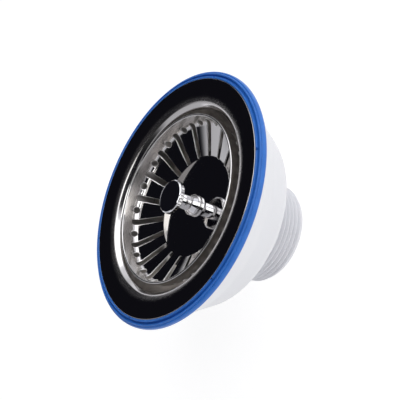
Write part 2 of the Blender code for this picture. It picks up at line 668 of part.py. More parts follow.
def make_stopper_seal(parent):
    """Rubber disc whose sloping lip closes on the bowl's floor."""
    underside = STOPPER_TOP - STOPPER_THICKNESS
    shoulder = STOPPER_RADIUS - STOPPER_FLARE
    outline = [
        (SCREW_HOLE_RADIUS, underside),
        (shoulder - STOPPER_LIP, underside),
        (STOPPER_RADIUS - STOPPER_LIP, STOPPER_LIP_BOTTOM),
        (STOPPER_RADIUS, STOPPER_LIP_BOTTOM),
        (STOPPER_RADIUS, STOPPER_LIP_BOTTOM + STOPPER_LIP),
        (shoulder, STOPPER_TOP),
        (SCREW_HOLE_RADIUS, STOPPER_TOP),
    ]
    bm = turned([Vector(point) for point in outline], LARGE_STEPS)
    return new_object("stopper_seal", bm, finish("stopper_rubber", BLACK_RUBBER, 0.6, 0), parent)


def make_stem(parent):
    """Stem with a collar under the rubber, a groove for the ring and a bore for the screw."""
    groove_top = RING_TOP + GAP
    groove_bottom = RING_TOP - RING_HEIGHT - GAP
    outline = [
        (SCREW_HOLE_RADIUS, STEM_TOP),
        (SCREW_HOLE_RADIUS, SCREW_HEAD_TOP + GAP),
        (STEM_TIP_BORE, SCREW_HEAD_TOP + GAP),
        (STEM_TIP_BORE, STEM_BOTTOM),
        (STEM_RADIUS, STEM_BOTTOM),
        (STEM_RADIUS, groove_bottom),
        (GROOVE_RADIUS, groove_bottom),
        (GROOVE_RADIUS, groove_top),
        (STEM_RADIUS, groove_top),
        (STEM_RADIUS, STEM_TOP - STEM_COLLAR_HEIGHT),
        (STEM_COLLAR_RADIUS, STEM_TOP - STEM_COLLAR_HEIGHT),
        (STEM_COLLAR_RADIUS, STEM_TOP),
    ]
    bm = turned([Vector(point) for point in outline], SMALL_STEPS)
    return new_object("stem", bm, finish("stem_brass", BRASS, 0.3, 1), parent)


def make_stem_screw(parent):
    """Screw from the stem's tip up into the post."""
    shank_top = POST_BOTTOM + POST_THREAD_LENGTH - SCREW_TIP_ROOM
    outline = [
        (0, SCREW_HEAD_BOTTOM),
        (SCREW_HEAD_RADIUS, SCREW_HEAD_BOTTOM),
        (SCREW_HEAD_RADIUS, SCREW_HEAD_TOP),
        (SCREW_RADIUS, SCREW_HEAD_TOP),
        (SCREW_RADIUS, shank_top),
        (0, shank_top),
    ]
    bm = turned([Vector(point) for point in outline], SMALL_STEPS)
    return new_object("stem_screw", bm, finish("screw_steel", STEEL, 0.25, 1), parent)


def make_stem_ring(parent):
    """Nylon ring in the stem's groove, which grips the bolt's bore."""
    outline = box_outline(GROOVE_RADIUS + GAP, BOLT_BORE - GAP, RING_TOP - RING_HEIGHT, RING_TOP)
    bm = turned(outline, SMALL_STEPS)
    return new_object("stem_ring", bm, finish("nylon", NYLON, 0.5, 0), parent)


def new_empty(name, parent=None):
    """An empty on the drain's axis, which carries the pieces that move as one."""
    empty = bpy.data.objects.new(name, None)
    empty.parent = parent
    bpy.context.collection.objects.link(empty)
    return empty


def main():
    for old in list(bpy.data.objects):
        bpy.data.objects.remove(old)
    drain = new_empty("drain_axis")
    catch = new_empty("lift_axis", drain)
    basket = new_empty("turn_axis", catch)
    for make in (make_flange_bowl, make_flange_seal, make_body_gasket, make_waste_body):
        make(drain)
    for make in (make_fixing_bolt, make_bolt_washer, make_captive_nut):
        make(drain)
    make_stem_ring(catch)
    for make in (make_strainer_basket, make_knob, make_knob_post, make_stopper_plate, make_stopper_seal):
        make(basket)
    for make in (make_stem, make_stem_screw):
        make(basket)


main()
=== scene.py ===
# %% [markdown]
# # A basket drain for a kitchen sink
# The drain is a polished steel flange with a bowl under it, a strainer basket that lifts out by its
# knob, a blue gasket and a white plastic body with a threaded outlet. The imported CAD model gives
# every place and size. This script keeps that model as its frame, and makes a finer piece for each
# node. It loads the frame first, and each finished piece hides the node that it stands for.

# %% Load the frame
import math

import bpy
from mathutils import Matrix, Vector


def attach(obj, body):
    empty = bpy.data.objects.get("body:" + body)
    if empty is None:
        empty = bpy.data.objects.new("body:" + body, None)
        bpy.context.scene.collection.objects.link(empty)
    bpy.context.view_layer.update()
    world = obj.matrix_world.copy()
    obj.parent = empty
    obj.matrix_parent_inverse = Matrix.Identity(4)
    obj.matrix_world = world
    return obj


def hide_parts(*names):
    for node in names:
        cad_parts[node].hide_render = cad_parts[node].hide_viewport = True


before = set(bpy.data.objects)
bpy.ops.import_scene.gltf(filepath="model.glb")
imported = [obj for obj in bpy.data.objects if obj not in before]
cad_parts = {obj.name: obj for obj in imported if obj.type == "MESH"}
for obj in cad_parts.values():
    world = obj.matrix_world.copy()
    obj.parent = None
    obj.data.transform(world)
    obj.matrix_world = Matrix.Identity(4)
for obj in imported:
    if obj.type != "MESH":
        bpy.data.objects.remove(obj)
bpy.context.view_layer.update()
MM = 0.001

# %% [markdown]
# ## Camera
# The photograph looks down on the flange from the side, with the drain's axis lying almost across
# the picture. A camera could be aimed by hand until the picture fits. Here its place follows from
# four measured values: the angle from the drain's axis, the distance, the roll, and where the
# middle of the flange falls in the picture. No lens shift is needed, because the camera is turned
# instead.

# %% Camera
FLANGE_TOP = 60.0
FLANGE_MIDDLE = Vector((0, 0, FLANGE_TOP * MM))
AXIS_ANGLE = math.radians(57.70)
CAMERA_ROLL = math.radians(69.07)
CAMERA_DISTANCE = 550 * MM
PICTURE_SIDE = 400
FOCAL_PIXELS = 1216.1
MIDDLE_PIXEL = (171.56, 196.74)
SENSOR_WIDTH = 36
CLIP_NEAR, CLIP_FAR = 10 * MM, 20

away = Vector((0, -math.sin(AXIS_ANGLE), math.cos(AXIS_ANGLE)))
level_right = Vector((1, 0, 0))
level_up = away.cross(level_right)
rolled_right = math.cos(CAMERA_ROLL) * level_right - math.sin(CAMERA_ROLL) * level_up
rolled_up = math.sin(CAMERA_ROLL) * level_right + math.cos(CAMERA_ROLL) * level_up
off_right = (MIDDLE_PIXEL[0] - PICTURE_SIDE / 2) / FOCAL_PIXELS
off_up = (PICTURE_SIDE / 2 - MIDDLE_PIXEL[1]) / FOCAL_PIXELS
back = (away + off_right * rolled_right + off_up * rolled_up).normalized()
camera_up = (rolled_up - rolled_up.dot(back) * back).normalized()
camera_right = camera_up.cross(back)

camera_data = bpy.data.cameras.new("studio_camera")
camera_data.sensor_width = SENSOR_WIDTH
camera_data.lens = FOCAL_PIXELS / PICTURE_SIDE * SENSOR_WIDTH
camera_data.clip_start = CLIP_NEAR
camera_data.clip_end = CLIP_FAR
camera = bpy.data.objects.new("studio_camera", camera_data)
bpy.context.scene.collection.objects.link(camera)
turn = Matrix((camera_right, camera_up, back)).transposed().to_4x4()
camera.matrix_world = Matrix.Translation(FLANGE_MIDDLE + away * CAMERA_DISTANCE) @ turn
bpy.context.scene.camera = camera
print(f"camera at {[round(c / MM) for c in camera.location]} mm with a {camera_data.lens:.0f} mm lens")

# %% [markdown]
# ## Helpers for turned pieces
# Nearly every piece of the drain is round, so each begins as half of its section: a chain of points
# beside the axis, with arcs at its corners. The chain is drawn as by hand, with one vertex that is
# extruded from point to point. The spin tool then turns it about the axis. A cylinder primitive
# that is cut and scaled would also do for the plainest pieces, but a drawn section keeps every
# radius and height in one readable list.

# %% Rounded corners of a section
def rounded(corners, arc_steps=5):
    """Points of a section from corners of (radius, height, rounding), all in millimetres."""
    points = []
    for i, (radius, height, rounding) in enumerate(corners):
        here = Vector((radius, 0, height))
        if rounding == 0 or i in (0, len(corners) - 1):
            points.append(here * MM)
            continue
        before, after = (Vector((r, 0, z)) for r, z, _ in (corners[i - 1], corners[i + 1]))
        inward, onward = (before - here).normalized(), (after - here).normalized()
        half = inward.angle(onward) / 2
        middle = here + (inward + onward).normalized() * rounding / math.sin(half)
        first = here + inward * rounding / math.tan(half) - middle
        last = here + onward * rounding / math.tan(half) - middle
        sweep = math.pi - 2 * half
        for step in range(arc_steps + 1):
            share = step / arc_steps
            mixed = first * math.sin(sweep - sweep * share) + last * math.sin(sweep * share)
            points.append((middle + mixed / math.sin(sweep)) * MM)
    return points


def sharp(corners):
    """Points of a section from plain corners of (radius, height), all in millimetres."""
    return [Vector((radius, 0, height)) * MM for radius, height in corners]


# %% Draw a section and turn it
WELD = 0.004 * MM
SLIT = WELD / 4


def draw_section(name, points, closed=False):
    """A chain of vertices through the points, drawn by extruding one vertex."""
    bpy.ops.object.select_all(action="DESELECT")
    bpy.ops.mesh.primitive_plane_add(size=MM, location=points[0])
    piece = bpy.context.object
    piece.name = piece.data.name = name
    bpy.ops.object.transform_apply(location=True)
    bpy.ops.object.mode_set(mode="EDIT")
    bpy.ops.mesh.select_mode(type="VERT")
    bpy.ops.mesh.select_all(action="SELECT")
    bpy.ops.mesh.merge(type="CENTER")
    chain = points + points[:1] if closed else points
    for start, end in zip(chain, chain[1:]):
        bpy.ops.mesh.extrude_region_move(TRANSFORM_OT_translate={"value": end - start})
    bpy.ops.mesh.select_all(action="SELECT")
    bpy.ops.mesh.remove_doubles(threshold=WELD)
    bpy.ops.object.mode_set(mode="OBJECT")
    return piece


def turned(name, points, steps, closed=False):
    """A piece turned from a section about the drain's axis, welded, with its faces pointing outwards."""
    piece = draw_section(name, points, closed)
    bpy.ops.object.mode_set(mode="EDIT")
    bpy.ops.mesh.select_all(action="SELECT")
    bpy.ops.mesh.spin(steps=steps, angle=math.tau, center=(0, 0, 0), axis=(0, 0, 1))
    bpy.ops.mesh.select_all(action="SELECT")
    bpy.ops.mesh.remove_doubles(threshold=WELD)
    bpy.ops.mesh.normals_make_consistent(inside=False)
    bpy.ops.object.mode_set(mode="OBJECT")
    return piece


# %% Give a sheet its thickness, and cut or join with a helper solid
def thickened(piece, thickness, drawn_side=1):
    """Gives an open sheet its thickness. The drawn side faces up, or down where drawn_side is -1."""
    if sum(face.normal.z * face.area for face in piece.data.polygons) * drawn_side < 0:
        bpy.ops.object.mode_set(mode="EDIT")
        bpy.ops.mesh.select_all(action="SELECT")
        bpy.ops.mesh.flip_normals()
        bpy.ops.object.mode_set(mode="OBJECT")
    wall = piece.modifiers.new("wall", "SOLIDIFY")
    wall.thickness = thickness
    wall.offset = -1
    wall.use_even_offset = True
    bpy.ops.object.modifier_apply(modifier=wall.name)
    return piece


def combined(piece, helper, operation):
    """Cuts a helper solid out of a piece, or joins it on, and removes the helper."""
    bpy.ops.object.select_all(action="DESELECT")
    piece.select_set(True)
    bpy.context.view_layer.objects.active = piece
    step = piece.modifiers.new("combine", "BOOLEAN")
    step.operation = operation
    step.solver = "EXACT"
    step.material_mode = "TRANSFER"
    step.object = helper
    bpy.ops.object.modifier_apply(modifier=step.name)
    bpy.data.objects.remove(helper)
    return piece


def welded(piece):
    """Closes the hairline slits and slivers that a join can leave."""
    bpy.ops.object.mode_set(mode="EDIT")
    bpy.ops.mesh.select_all(action="SELECT")
    bpy.ops.mesh.remove_doubles(threshold=SLIT)
    bpy.ops.mesh.dissolve_degenerate(threshold=SLIT)
    bpy.ops.object.mode_set(mode="OBJECT")
    return piece


# %% Select by a test
def pick(piece, kind, test):
    """Selects the vertices, edges or faces that pass a test, and stays in edit mode."""
    bpy.ops.object.mode_set(mode="EDIT")
    bpy.ops.mesh.select_mode(type=kind)
    bpy.ops.mesh.select_all(action="DESELECT")
    bpy.ops.object.mode_set(mode="OBJECT")
    items = {"VERT": piece.data.vertices, "EDGE": piece.data.edges, "FACE": piece.data.polygons}[kind]
    for item in items:
        item.select = test(item)
    chosen = sum(item.select for item in items)
    bpy.ops.object.mode_set(mode="EDIT")
    return chosen


def ends(piece, edge):
    """Both end points of an edge."""
    return [piece.data.vertices[v].co for v in edge.vertices]


# %% Repeat a helper round the axis
def repeated(piece, count, phase=0.0):
    """Copies a piece round the drain's axis and joins the copies into one object."""
    copies = []
    for i in range(count):
        copy = piece.copy()
        copy.data = piece.data.copy()
        bpy.context.scene.collection.objects.link(copy)
        copy.data.transform(Matrix.Rotation(phase + math.tau * i / count, 4, "Z") @ piece.matrix_world)
        copy.matrix_world = Matrix.Identity(4)
        copies.append(copy)
    bpy.data.objects.remove(piece)
    bpy.ops.object.select_all(action="DESELECT")
    for copy in copies:
        copy.select_set(True)
    bpy.context.view_layer.objects.active = copies[0]
    bpy.ops.object.join()
    return bpy.context.object


# %% [markdown]
# ## Helpers for finishes
# Every finish is a node material around one Principled shader. Its patterns read Object
# coordinates, and as all objects sit at the origin, the distance from the axis is simply the length
# of the flat part of those coordinates. That one value and the height place the polished and the
# satin zones of the pressed steel, and stretch noise into the fine circles that a polishing wheel
# or a lathe leaves.

# %% Start a finish and wire its nodes
def new_finish(name, **constants):
    """A material with its Principled shader, whose plain sockets are set by name."""
    material = bpy.data.materials.new(name)
    material.use_nodes = True
    shader = material.node_tree.nodes["Principled BSDF"]
    for socket, value in constants.items():
        shader.inputs[socket.replace("_", " ")].default_value = value
    return material


def node(material, kind, inputs=None, **settings):
    """Adds a node. An input that is given another node's output is linked to it."""
    made = material.node_tree.nodes.new(kind)
    for name, value in settings.items():
        setattr(made, name, value)
    for name, value in (inputs or {}).items():
        if isinstance(value, bpy.types.NodeSocket):
            material.node_tree.links.new(value, made.inputs[name])
        else:
            made.inputs[name].default_value = value
    return made


def to_shader(material, socket, value):
    """Links a node's output to a socket of the material's shader."""
    material.node_tree.links.new(value, material.node_tree.nodes["Principled BSDF"].inputs[socket])


# %% Calculations, places, noise and ramps
# Most of the noise lies in this range, so this is what gets stretched to a finish's own range.
NOISE_RANGE = (0.3, 0.7)


def calculated(material, operation, *values, **settings):
    """The result of an operation on values, each a number or another node's output."""
    made = node(material, "ShaderNodeMath", dict(enumerate(values)), operation=operation, **settings)
    return made.outputs[0]


def place(material):
    """Object coordinates in millimetres."""
    coordinates = node(material, "ShaderNodeTexCoord").outputs["Object"]
    inputs = {0: coordinates, "Scale": 1 / MM}
    return node(material, "ShaderNodeVectorMath", inputs, operation="SCALE").outputs[0]


def off_axis(material, where):
    """Distance from the drain's axis."""
    flat = node(material, "ShaderNodeVectorMath", {0: where, 1: (1, 1, 0)}, operation="MULTIPLY")
    length = node(material, "ShaderNodeVectorMath", {0: flat.outputs[0]}, operation="LENGTH")
    return length.outputs["Value"]


def noise(material, where, scale, detail=3.0):
    """Even noise, with scale in bumps to the millimetre."""
    inputs = {"Vector": where, "Scale": scale, "Detail": detail}
    return node(material, "ShaderNodeTexNoise", inputs).outputs["Fac"]


def circles(material, where, across, along):
    """Noise drawn out into circles: fine across them, long along them. It runs from 0 to 1."""
    parts = node(material, "ShaderNodeSeparateXYZ", {0: where}).outputs
    angle = calculated(material, "ARCTAN2", parts["Y"], parts["X"])
    around = calculated(material, "MULTIPLY", angle, along)
    outward = calculated(material, "MULTIPLY", off_axis(material, where), across)
    upward = calculated(material, "MULTIPLY", parts["Z"], across)
    wound = node(material, "ShaderNodeCombineXYZ", {0: outward, 1: around, 2: upward}).outputs[0]
    return noise(material, wound, 1.0)


def between(material, value, low, high, out_low, out_high):
    """Maps a value's range onto another, with soft ends."""
    ranges = {"Value": value, "From Min": low, "From Max": high, "To Min": out_low, "To Max": out_high}
    mapped = node(material, "ShaderNodeMapRange", ranges, interpolation_type="SMOOTHSTEP")
    return mapped.outputs["Result"]


def mixed_colour(material, share, first, second):
    """Mixes two colours."""
    inputs = {"Factor": share, 6: (*first, 1) if isinstance(first, tuple) else first, 7: (*second, 1)}
    return node(material, "ShaderNodeMix", inputs, data_type="RGBA").outputs[2]


def add_bump(material, height, distance):
    """Raises the surface by a height that runs from 0 to 1, over a distance in millimetres."""
    inputs = {"Height": height, "Distance": distance * MM, "Strength": 1.0}
    to_shader(material, "Normal", node(material, "ShaderNodeBump", inputs).outputs["Normal"])


# %% Settle a finished piece on its body
# The modifier's own scale: at 50 a face counts by its area, and above that large ones count more.
LARGE_FACES_WEIGH = 90


def open_edges(piece):
    """How many edges don't have exactly two faces. A closed solid has none."""
    sides = {}
    for face in piece.data.polygons:
        for key in face.edge_keys:
            sides[key] = sides.get(key, 0) + 1
    return sum(count != 2 for count in sides.values())


def settled(piece, body, cad_node, slot, *finishes, smooth=30, even=False):
    """Places, shades and finishes a piece, and lets it ride on its body in place of its CAD node.

    Where even is set, a rounded edge doesn't bend the light on the large faces beside it.
    """
    bpy.ops.object.select_all(action="DESELECT")
    piece.select_set(True)
    bpy.context.view_layer.objects.active = piece
    bpy.ops.object.transform_apply(location=True, rotation=True, scale=True)
    bpy.ops.object.shade_smooth_by_angle(angle=math.radians(smooth))
    if even:
        shading = piece.modifiers.new("even_shading", "WEIGHTED_NORMAL")
        shading.weight = LARGE_FACES_WEIGH
        shading.keep_sharp = True
        bpy.ops.object.modifier_apply(modifier=shading.name)
    for i, finish in enumerate(finishes):
        if i < len(piece.data.materials):
            piece.data.materials[i] = finish
        else:
            piece.data.materials.append(finish)
    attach(piece, body)
    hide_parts(cad_node)
    triangles = sum(len(face.vertices) - 2 for face in piece.data.polygons)
    print(f"{piece.name}: {triangles} triangles, {open_edges(piece)} open edges, stands for {cad_node}")


# %% [markdown]
# ## Polished steel
# The flange is a mirror: it shows the dark of the studio, and only a fine haze tells it from glass.
# The lip, where the press has stretched the sheet, is a little duller, and its haze fades out on
# the flange beside it. All down the bowl the steel is satin, with fine circles from the polishing
# wheel. Two materials with a seam between them would show an edge, so one material takes its
# roughness from the distance to the axis and from the height.

# %% Finish of the flange and bowl
STEEL_COLOUR = (0.66, 0.65, 0.64)
STEEL_WARM = (0.635, 0.61, 0.59)
# In millimetres: where the satin wall ends below the lip, where the lip begins and where its haze
# ends beside it, the first as heights and the others as distances from the axis.
WALL_TOP, LIP_START, LIP_END = (56.0, 57.4), (44.4, 46.8), (47.3, 49.8)
WHEEL_MARKS = 0.0003


def flange_finish():
    """Mirror on the flange, a haze on and beside the lip, and satin down the bowl."""
    steel = new_finish("flange_steel", Metallic=1.0)
    where = place(steel)
    radius = off_axis(steel, where)
    height = node(steel, "ShaderNodeSeparateXYZ", {0: where}).outputs["Z"]
    rings = circles(steel, where, 9.0, 3.0)
    polish = between(steel, noise(steel, where, 0.12), *NOISE_RANGE, 0.045, 0.075)
    satin = between(steel, rings, *NOISE_RANGE, 0.17, 0.21)
    wall = between(steel, height, *WALL_TOP, 1.0, 0.0)
    lip = between(steel, radius, *LIP_START, 0.05, 0.20)
    fading = between(steel, radius, *LIP_END, 1.0, 0.0)
    haze = calculated(steel, "MULTIPLY_ADD", lip, fading, polish)
    to_shader(steel, "Roughness", calculated(steel, "MULTIPLY_ADD", satin, wall, haze))
    worked = calculated(steel, "MULTIPLY_ADD", lip, 4.0, wall, use_clamp=True)
    to_shader(steel, "Base Color", mixed_colour(steel, worked, STEEL_COLOUR, STEEL_WARM))
    add_bump(steel, calculated(steel, "MULTIPLY", rings, wall), WHEEL_MARKS)
    return steel


flange_steel = flange_finish()
print("flange steel: mirror, haze and satin in one finish")

# %% [markdown]
# ## Flange and bowl
# One steel sheet is pressed into the flange, its rolled lip, the bowl and the recess for the bolt's
# head. It could be lathed with a Screw modifier, but a section that is spun in edit mode leaves a
# plain mesh for the next steps. The sheet gets its 0.8 mm from Solidify, so both sides stay
# parallel, and eight curved drain holes are cut last.

# %% Flange and bowl, turned and thickened
FLANGE_STEPS = 240
FLANGE_SHEET = 0.8
flange_corners = [
    (57.0, 58.6, 0),
    (57.0, FLANGE_TOP, 0.22),
    (49.6, 59.64, 24.0),
    (47.5, 59.37, 11.0),
    (46.3, 59.07, 3.5),
    (45.5, 58.7, 2.0),
    (43.8, 56.9, 1.8),
    (38.0, 32.3, 6.0),
    (13.5, 32.3, 1.2),
    (11.5, 28.7, 1.0),
    (6.5, 28.7, 0),
]
flange = thickened(turned("steel_flange", rounded(flange_corners), FLANGE_STEPS), FLANGE_SHEET * MM)
print("flange sheet:", len(flange.data.polygons), "faces")

# %% Drain holes
DRAIN_HOLES = 8
HOLE_INNER, HOLE_OUTER, HOLE_WEB, HOLE_ROUNDING = 15.5, 22.5, 4.5, 2.4
CUT_LOW, CUT_HIGH = 29.5, 34.0


def drain_hole_cutter():
    """A curved bar with rounded ends, spun through the angle of one drain hole."""
    middle = (HOLE_INNER + HOLE_OUTER) / 2
    half_angle = math.pi / DRAIN_HOLES - HOLE_WEB / 2 / middle
    corners = [(HOLE_INNER, CUT_LOW), (HOLE_OUTER, CUT_LOW)]
    corners += [(HOLE_OUTER, CUT_HIGH), (HOLE_INNER, CUT_HIGH)]
    cutter = draw_section("drain_hole", sharp(corners), closed=True)
    bpy.ops.object.mode_set(mode="EDIT")
    bpy.ops.mesh.select_all(action="SELECT")
    bpy.ops.mesh.edge_face_add()
    bpy.ops.transform.rotate(value=half_angle, orient_axis="Z", center_override=(0, 0, 0))
    bpy.ops.mesh.spin(steps=12, angle=2 * half_angle, center=(0, 0, 0), axis=(0, 0, 1))
    bpy.ops.mesh.select_all(action="SELECT")
    bpy.ops.mesh.normals_make_consistent(inside=False)
    bpy.ops.object.mode_set(mode="OBJECT")

    def at_corner(edge):
        first, second = ends(cutter, edge)
        upright = abs(first.z - second.z) > MM
        return upright and abs(abs(math.atan2(first.y, first.x)) - half_angle) < 0.01

    print("corners to round:", pick(cutter, "EDGE", at_corner))
    bpy.ops.mesh.bevel(offset=HOLE_ROUNDING * MM, segments=5)
    bpy.ops.object.mode_set(mode="OBJECT")
    return cutter


drain_holes = repeated(drain_hole_cutter(), DRAIN_HOLES)
print("drain hole cutters:", open_edges(drain_holes), "open edges")
combined(flange, drain_holes, "DIFFERENCE")
settled(flange, "drain", "flange_bowl", "flange_steel", flange_steel, even=True)

# %% [markdown]
# ## Gasket and seal
# The blue gasket lies between the sink and the plastic. Outside the flange it shows two ridges with
# a groove between them and a rounded band. Separate rings could be stacked to look like it, but it
# is one soft moulding, and one closed section leaves no seam. Six small notches, the marks of its
# mould, break the inner ridge. The grey seal between flange and sink is hidden, and is a plain flat
# ring with softened edges.

# %% Finish of the rubber
def rubber_finish(name, colour, shade, roughness, grain):
    """Moulded rubber: a soft sheen, slight unevenness of colour and a fine grain."""
    rubber = new_finish(name, Specular_IOR_Level=0.42)
    where = place(rubber)
    patches = between(rubber, noise(rubber, where, 0.25), *NOISE_RANGE, 0.0, 1.0)
    fine = noise(rubber, where, grain, 2.0)
    to_shader(rubber, "Base Color", mixed_colour(rubber, patches, colour, shade))
    rough = between(rubber, fine, *NOISE_RANGE, roughness - 0.05, roughness + 0.07)
    to_shader(rubber, "Roughness", rough)
    add_bump(rubber, fine, 0.012)
    return rubber


blue_rubber = rubber_finish("blue_rubber", (0.028, 0.165, 0.57), (0.022, 0.145, 0.52), 0.32, 5.0)
grey_rubber = rubber_finish("grey_rubber", (0.18, 0.18, 0.19), (0.14, 0.14, 0.15), 0.60, 5.0)
black_rubber = rubber_finish("black_rubber", (0.022, 0.022, 0.023), (0.016, 0.016, 0.017), 0.48, 4.0)
print("rubbers: blue, grey and black")

# %% Gasket and its notches
gasket_corners = [
    (47.0, 55.3, 0),
    (47.0, 57.0, 0.3),
    (57.15, 57.0, 0.2),
    (57.15, 60.0, 0.3),
    (58.0, 60.0, 0.3),
    (58.3, 58.2, 0.3),
    (58.9, 58.2, 0.3),
    (59.15, 59.5, 0.3),
    (59.8, 59.5, 0.3),
    (59.95, 58.8, 0.2),
    (60.6, 58.9, 0.5),
    (61.0, 58.0, 0.9),
    (61.0, 56.6, 0.5),
    (58.4, 56.4, 0.1),
    (58.4, 55.3, 0.2),
]
gasket = turned("blue_gasket", rounded(gasket_corners), FLANGE_STEPS, closed=True)
NOTCHES = 6
FIRST_NOTCH = math.radians(3)
bpy.ops.object.select_all(action="DESELECT")
bpy.ops.mesh.primitive_cone_add(
    vertices=8,
    radius1=0.35 * MM,
    radius2=0.95 * MM,
    depth=2.0 * MM,
    location=(57.7 * MM, 0, 59.4 * MM),
)
combined(gasket, repeated(bpy.context.object, NOTCHES, FIRST_NOTCH), "DIFFERENCE")
settled(gasket, "drain", "body_gasket", "gasket_rubber", blue_rubber, smooth=40)

# %% Flange seal
SEAL_STEPS = 180
seal_corners = [(46.9, 57.3, 0), (55.5, 57.3, 0.2), (55.5, 58.1, 0.2), (46.9, 58.1, 0)]
seal = turned("grey_flange_seal", rounded(seal_corners), SEAL_STEPS, closed=True)
settled(seal, "drain", "flange_seal", "seal_rubber", grey_rubber)

# %% [markdown]
# ## White plastic body
# The body is one injection moulding: a dome that carries the bowl, a threaded outlet, and in it a
# hub on four ribs for the fixing bolt. Its wall is 2.4 mm thick all over, as a moulder would draw
# it. A section with both sides would have to be kept that even by hand, so only the outside is
# turned, and then thickened inwards. The thread is a ridge wound by a Screw modifier. Cut to a
# tapered envelope, it runs in and out softly, as it does on the real outlet. A low rim round the
# gasket's foot carries on the dome's line.

# %% Finish of the plastic
def plastic_finish():
    """Satin moulded plastic, a little cool, with a faint flow pattern and grain."""
    plastic = new_finish(
        "white_plastic",
        Specular_IOR_Level=0.45,
        Subsurface_Weight=0.12,
        Subsurface_Scale=1.2 * MM,
        Subsurface_Radius=(1.0, 0.9, 0.9),
    )
    where = place(plastic)
    flow = between(plastic, noise(plastic, where, 0.05, 2.0), *NOISE_RANGE, 0.0, 1.0)
    fine = noise(plastic, where, 3.0, 2.0)
    colour = mixed_colour(plastic, flow, (0.75, 0.755, 0.78), (0.735, 0.74, 0.765))
    to_shader(plastic, "Base Color", colour)
    to_shader(plastic, "Roughness", between(plastic, fine, *NOISE_RANGE, 0.38, 0.50))
    add_bump(plastic, fine, 0.01)
    return plastic


white_plastic = plastic_finish()
print("white plastic ready")

# %% Body shell
BODY_STEPS = 180
BODY_WALL = 2.4
body_corners = [
    (51.0, 55.0, 0),
    (59.3, 55.0, 0),
    (50.7, 43.5, 20.0),
    (41.9, 26.6, 13.0),
    (22.42, 19.8, 3.0),
    (22.42, 0.0, 0),
]
body = turned("plastic_body", rounded(body_corners, 10), BODY_STEPS)
thickened(body, BODY_WALL * MM, drawn_side=-1)
print("body shell:", len(body.data.polygons), "faces")

# %% Thread of the outlet
PITCH = 2.309
THREAD_STEPS, THREAD_TURNS = 72, 8


def thread_ridge():
    """The outlet's thread: a ridge wound on a helix, cut to a tapered envelope."""
    section = [(22.17, -0.7), (23.72, 0.12), (23.9, 0.3), (23.9, 0.5), (23.72, 0.68), (22.17, 1.5)]
    ridge = draw_section("thread", sharp(section), closed=True)
    winding = ridge.modifiers.new("winding", "SCREW")
    winding.axis = "Z"
    winding.steps = winding.render_steps = THREAD_STEPS
    winding.screw_offset = PITCH * MM
    winding.iterations = THREAD_TURNS
    bpy.ops.object.modifier_apply(modifier=winding.name)
    bpy.ops.object.mode_set(mode="EDIT")
    bpy.ops.mesh.select_all(action="SELECT")
    bpy.ops.mesh.region_to_loop()
    bpy.ops.mesh.edge_face_add()
    bpy.ops.mesh.select_all(action="SELECT")
    bpy.ops.mesh.normals_make_consistent(inside=False)
    bpy.ops.object.mode_set(mode="OBJECT")
    envelope_corners = [(0, 0.4), (22.3, 0.4), (24.1, 2.6), (24.1, 16.0), (22.3, 18.6), (0, 18.6)]
    envelope = turned("thread_envelope", sharp(envelope_corners), 2 * THREAD_STEPS)
    return welded(combined(ridge, envelope, "INTERSECT"))


welded(combined(body, thread_ridge(), "UNION"))
print("body with thread:", len(body.data.polygons), "faces,", open_edges(body), "open edges")

# %% Ribs, hub, bore and the nut's pocket
def bar(name, low, high, angle=0.0):
    """A box between two corners in millimetres, turned about the drain's axis."""
    low, high = Vector(low) * MM, Vector(high) * MM
    bpy.ops.object.select_all(action="DESELECT")
    bpy.ops.mesh.primitive_cube_add(size=1, location=(low + high) / 2, scale=high - low)
    made = bpy.context.object
    made.name = name
    bpy.ops.object.transform_apply(location=True, scale=True)
    made.data.transform(Matrix.Rotation(angle, 4, "Z"))
    return made


def hexagon(name, half_flats, low, high):
    """A hexagonal prism about the drain's axis, with a corner on +X."""
    bpy.ops.object.select_all(action="DESELECT")
    bpy.ops.mesh.primitive_cylinder_add(
        vertices=6,
        radius=half_flats / math.cos(math.pi / 6) * MM,
        depth=(high - low) * MM,
        location=(0, 0, (low + high) / 2 * MM),
        rotation=(0, 0, math.pi / 2),
    )
    made = bpy.context.object
    made.name = name
    bpy.ops.object.transform_apply(location=True, rotation=True)
    return made


SMALL_STEPS, BORE_STEPS = 96, 64
NUT_HALF_FLATS, POCKET_HALF_FLATS = 8.5, 8.8
for angle in (math.pi / 4, 3 * math.pi / 4):
    rib = bar("rib", (-21.2, -1.3, 14.0), (21.2, 1.3, 26.4), angle)
    welded(combined(body, rib, "UNION"))
hub_corners = [(0, 13.7, 0), (11.96, 13.7, 0.5), (11.96, 27.6, 0.5), (0, 27.6, 0)]
hub = turned("hub", rounded(hub_corners), SMALL_STEPS)
welded(combined(body, hub, "UNION"))
seat_corners = [(58.4, 53.8, 0), (58.4, 56.3, 0.15), (60.31, 56.3, 0.3), (58.43, 53.8, 0)]
welded(combined(body, turned("seat", rounded(seat_corners), BODY_STEPS, closed=True), "UNION"))
combined(body, turned("bore", sharp([(0, 11), (6.5, 11), (6.5, 30), (0, 30)]), BORE_STEPS), "DIFFERENCE")
welded(combined(body, hexagon("pocket", POCKET_HALF_FLATS, 12.0, 23.3), "DIFFERENCE"))
settled(body, "drain", "waste_body", "white_plastic", white_plastic, smooth=28, even=True)

# %% [markdown]
# ## Strainer basket
# The basket is pressed from 0.6 mm sheet with a rolled rim. The wall is satin, and the rim, the
# knee, the dish and the floor are a mirror. Twenty slots run from the wall over the knee and down
# the dish, with a round hole between each two. Faces of the turned sheet could simply be deleted,
# but their straight edges would show. Real openings are punched, which leaves a bright rounded
# edge. So they are cut with helper solids that carry that bright finish, and a narrow bevel rounds
# the edges they leave.

# %% Finish of the basket
# Heights in millimetres between which the mirror turns into the wall's satin, and back.
KNEE_END, RIM_START = (52.4, 54.4), (57.8, 58.4)


